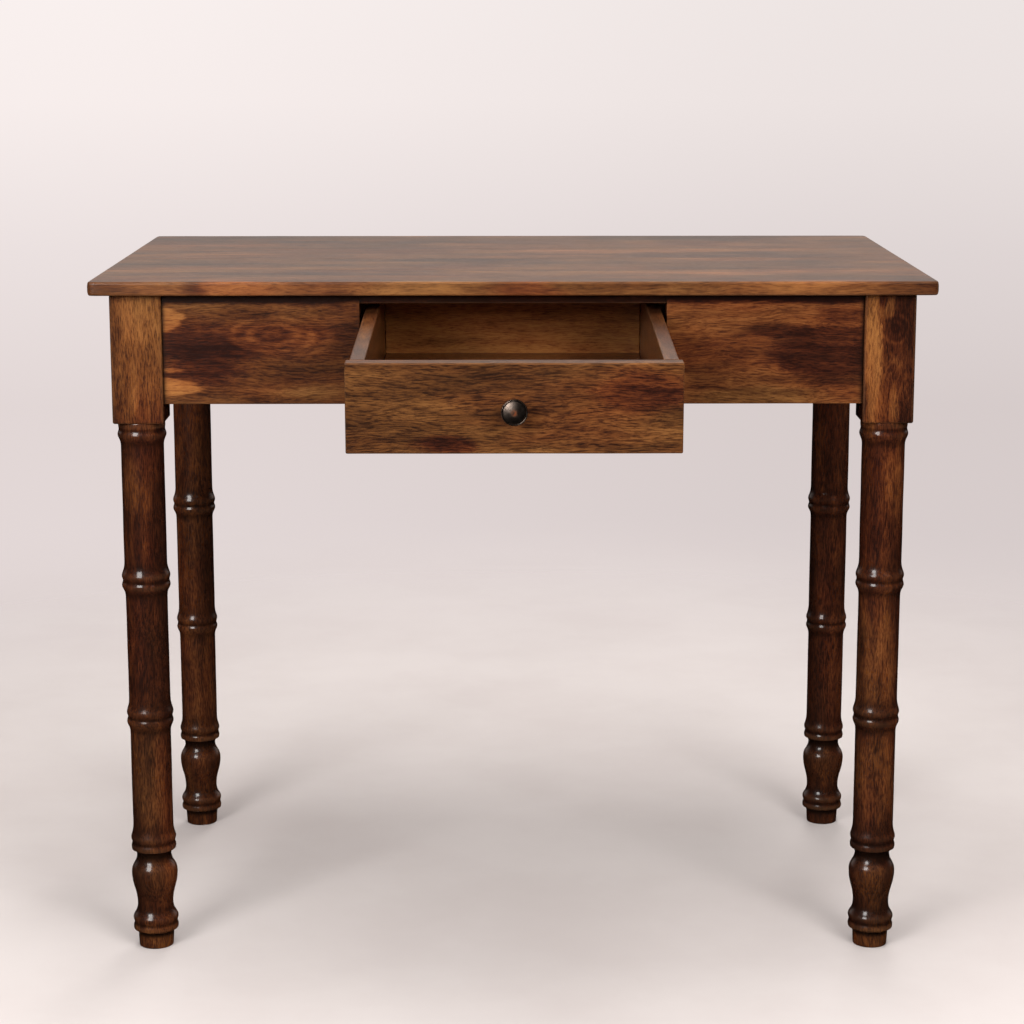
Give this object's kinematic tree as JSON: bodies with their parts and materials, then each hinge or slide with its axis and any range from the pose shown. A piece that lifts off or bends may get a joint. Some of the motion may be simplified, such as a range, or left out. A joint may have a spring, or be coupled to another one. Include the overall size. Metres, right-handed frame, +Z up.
{
  "type": "writing desk",
  "caption": "Wooden writing desk with bamboo-style turned legs, a thin plank top and one central drawer with a round knob, standing with the drawer pulled open.",
  "frame": {"origin": "on the floor, below the middle of the tabletop", "axes": "+X to the sitter's right along the tabletop's width, the front with the drawer faces -Y, +Z up"},
  "size_m": [0.9, 0.856, 0.75],
  "materials": {
    "top_wood": "lacquered, satin",
    "leg_wood": "lacquered, glossy",
    "apron_wood": "lacquered, satin",
    "inner_wood": "planed, unfinished",
    "drawer_wood": "lacquered, satin",
    "knob_metal": "dark antique, worn to copper on the dome",
    "screw_steel": "plain"
  },
  "bodies": {
    "desk": {"top_board_1": "top_wood", "top_board_2": "top_wood", "top_board_3": "top_wood", "top_board_4": "top_wood", "leg_front_left": "leg_wood", "leg_front_right": "leg_wood", "leg_back_left": "leg_wood", "leg_back_right": "leg_wood", "apron_front_left": "apron_wood", "apron_front_right": "apron_wood", "apron_left": "apron_wood", "apron_right": "apron_wood", "apron_back": "apron_wood", "front_top_rail": "apron_wood", "front_bottom_rail": "apron_wood", "corner_block_front_left": "inner_wood", "corner_block_front_right": "inner_wood", "corner_block_back_left": "inner_wood", "corner_block_back_right": "inner_wood", "drawer_runner_left": "inner_wood", "drawer_runner_right": "inner_wood", "drawer_kicker_left": "inner_wood", "drawer_kicker_right": "inner_wood", "drawer_stop": "inner_wood", "top_buttons": "inner_wood", "top_button_screws": "screw_steel"},
    "glide": {"drawer_glide": "inner_wood"},
    "drawer": {"drawer_front": "drawer_wood", "drawer_side_left": "drawer_wood", "drawer_side_right": "drawer_wood", "drawer_back": "drawer_wood", "drawer_bottom": "drawer_wood", "drawer_knob": "knob_metal", "knob_screw": "screw_steel"}
  },
  "joints": [
    {"name": "drawer_tip", "type": "hinge", "parent": "desk", "child": "glide", "pos_m": [0, -0.256, 0.6246], "axis": [1, 0, 0], "range_deg": [-2.88, 0.6]},
    {"name": "drawer_slide", "type": "slide", "parent": "glide", "child": "drawer", "axis": [0, -0.9987, -0.0501], "range_m": [-0.29, 0.06]}
  ],
  "couplings": [
    {"joint": "drawer_tip", "follows": "drawer_slide", "rad_per_m": 0.17273}
  ]
}
